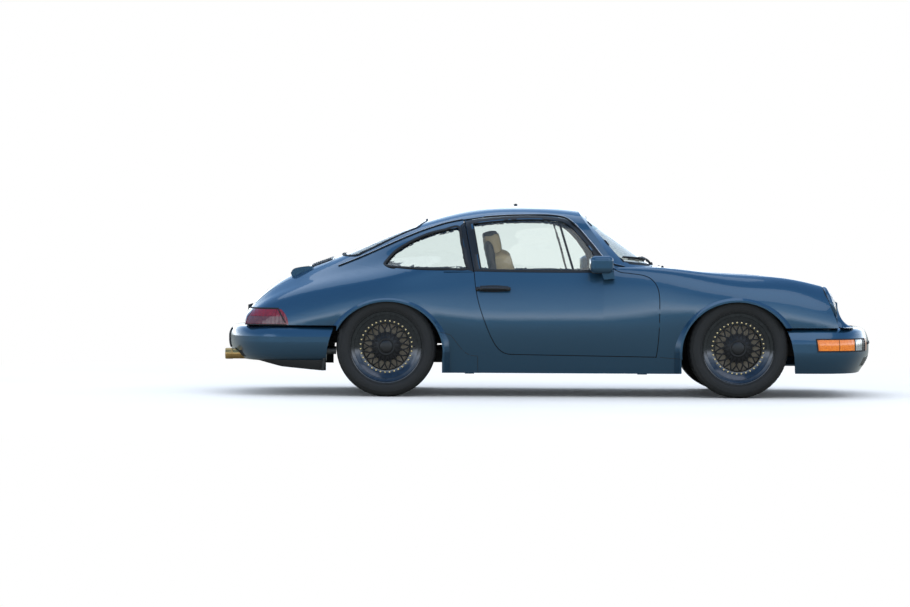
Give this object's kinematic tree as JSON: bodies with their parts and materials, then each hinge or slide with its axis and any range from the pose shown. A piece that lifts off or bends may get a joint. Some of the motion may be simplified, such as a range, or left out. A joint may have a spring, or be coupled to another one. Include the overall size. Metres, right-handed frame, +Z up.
{
  "type": "two-door rear-engined fastback coupe",
  "caption": "Lowered two-door fastback coupe in slate-blue metallic paint with black cross-spoke wheels, gold rim bolts, round headlamps and a wraparound red tail lamp.",
  "frame": {"origin": "bottom centre of the bounding box, on the ground under the middle of the car", "axes": "+X towards the front bumper along the length, +Y to the car's left side, +Z up"},
  "size_m": [4.248, 1.864, 1.245],
  "materials": {
    "amber_lens": "gloss",
    "black_plastic": "matte",
    "body_paint": "gloss",
    "cast_metal": "matte",
    "clear_glass": "gloss",
    "dark_metal": "satin",
    "lamp_glass": "gloss",
    "red_lens": "gloss",
    "rim_finish": "gloss",
    "seat_leather": "satin",
    "steel_parts": "satin",
    "tyre_rubber": "matte"
  },
  "bodies": {
    "chassis": {"floor_pan": "dark_metal", "front_tub": "dark_metal", "wheelhouses": "dark_metal", "roof_frame": "body_paint", "quarter_left": "body_paint", "quarter_right": "body_paint", "front_fender_left": "body_paint", "front_fender_right": "body_paint", "sills": "body_paint", "cowl_panel": "body_paint", "nose_panel": "body_paint", "rear_panel": "body_paint", "front_bumper": "body_paint", "rear_bumper": "body_paint", "front_indicators": "amber_lens", "headlamps": "lamp_glass", "tail_lamps": "red_lens", "windscreen": "clear_glass", "fixed_glass": "clear_glass", "seats": "seat_leather", "dashboard": "black_plastic", "front_axle": "dark_metal", "rear_axle": "dark_metal", "rear_frame": "dark_metal", "engine_block": "cast_metal", "exhaust": "steel_parts", "plate_bracket": "dark_metal"},
    "left_door": {"door_left": "body_paint", "door_glass_left": "clear_glass", "mirror_and_handle_left": "body_paint"},
    "right_door": {"door_right": "body_paint", "door_glass_right": "clear_glass", "mirror_and_handle_right": "body_paint"},
    "luggage_cover": {"front_lid": "body_paint"},
    "engine_cover": {"engine_lid": "body_paint"},
    "left_upright": {"knuckle_left": "steel_parts"},
    "right_upright": {"knuckle_right": "steel_parts"},
    "hand_wheel": {"steering_wheel": "black_plastic"},
    "wheel_front_left": {"tyre_fl": "tyre_rubber", "rim_fl": "rim_finish"},
    "wheel_front_right": {"tyre_fr": "tyre_rubber", "rim_fr": "rim_finish"},
    "wheel_rear_left": {"tyre_rl": "tyre_rubber", "rim_rl": "rim_finish"},
    "wheel_rear_right": {"tyre_rr": "tyre_rubber", "rim_rr": "rim_finish"}
  },
  "joints": [
    {"name": "right_door_hinge", "type": "hinge", "parent": "chassis", "child": "right_door", "pos_m": [0.691, -0.7885, 0.52], "axis": [0, 0, 1], "range_deg": [0, 65]},
    {"name": "left_door_hinge", "type": "hinge", "parent": "chassis", "child": "left_door", "pos_m": [0.691, 0.7885, 0.52], "axis": [0, 0, -1], "range_deg": [0, 65]},
    {"name": "front_lid_hinge", "type": "hinge", "parent": "chassis", "child": "luggage_cover", "pos_m": [0.688, 0, 0.845], "axis": [0, -1, 0], "range_deg": [0, 60]},
    {"name": "engine_lid_hinge", "type": "hinge", "parent": "chassis", "child": "engine_cover", "pos_m": [-1.414, 0, 0.902], "axis": [0, 1, 0], "range_deg": [0, 55]},
    {"name": "steer_left", "type": "hinge", "parent": "chassis", "child": "left_upright", "pos_m": [1.204, 0.58, 0.323], "axis": [0, 0, 1], "range_deg": [-33, 33]},
    {"name": "steer_right", "type": "hinge", "parent": "chassis", "child": "right_upright", "pos_m": [1.204, -0.58, 0.323], "axis": [0, 0, 1], "range_deg": [-33, 33]},
    {"name": "steering_wheel_turn", "type": "hinge", "parent": "chassis", "child": "hand_wheel", "pos_m": [0.25, 0.36, 0.742], "axis": [-0.9272, 0, 0.3746], "range_deg": [-540, 540]},
    {"name": "spin_front_left", "type": "hinge", "parent": "left_upright", "child": "wheel_front_left", "pos_m": [1.204, 0.67, 0.323], "axis": [0, 1, 0], "continuous": true},
    {"name": "spin_front_right", "type": "hinge", "parent": "right_upright", "child": "wheel_front_right", "pos_m": [1.204, -0.67, 0.323], "axis": [0, 1, 0], "continuous": true},
    {"name": "spin_rear_left", "type": "hinge", "parent": "chassis", "child": "wheel_rear_left", "pos_m": [-1.068, 0.676, 0.323], "axis": [0, 1, 0], "continuous": true},
    {"name": "spin_rear_right", "type": "hinge", "parent": "chassis", "child": "wheel_rear_right", "pos_m": [-1.068, -0.676, 0.323], "axis": [0, 1, 0], "continuous": true}
  ],
  "couplings": [
    {"joint": "steer_right", "follows": "steer_left", "ratio": 1},
    {"joint": "steering_wheel_turn", "follows": "steer_left", "ratio": 16}
  ]
}
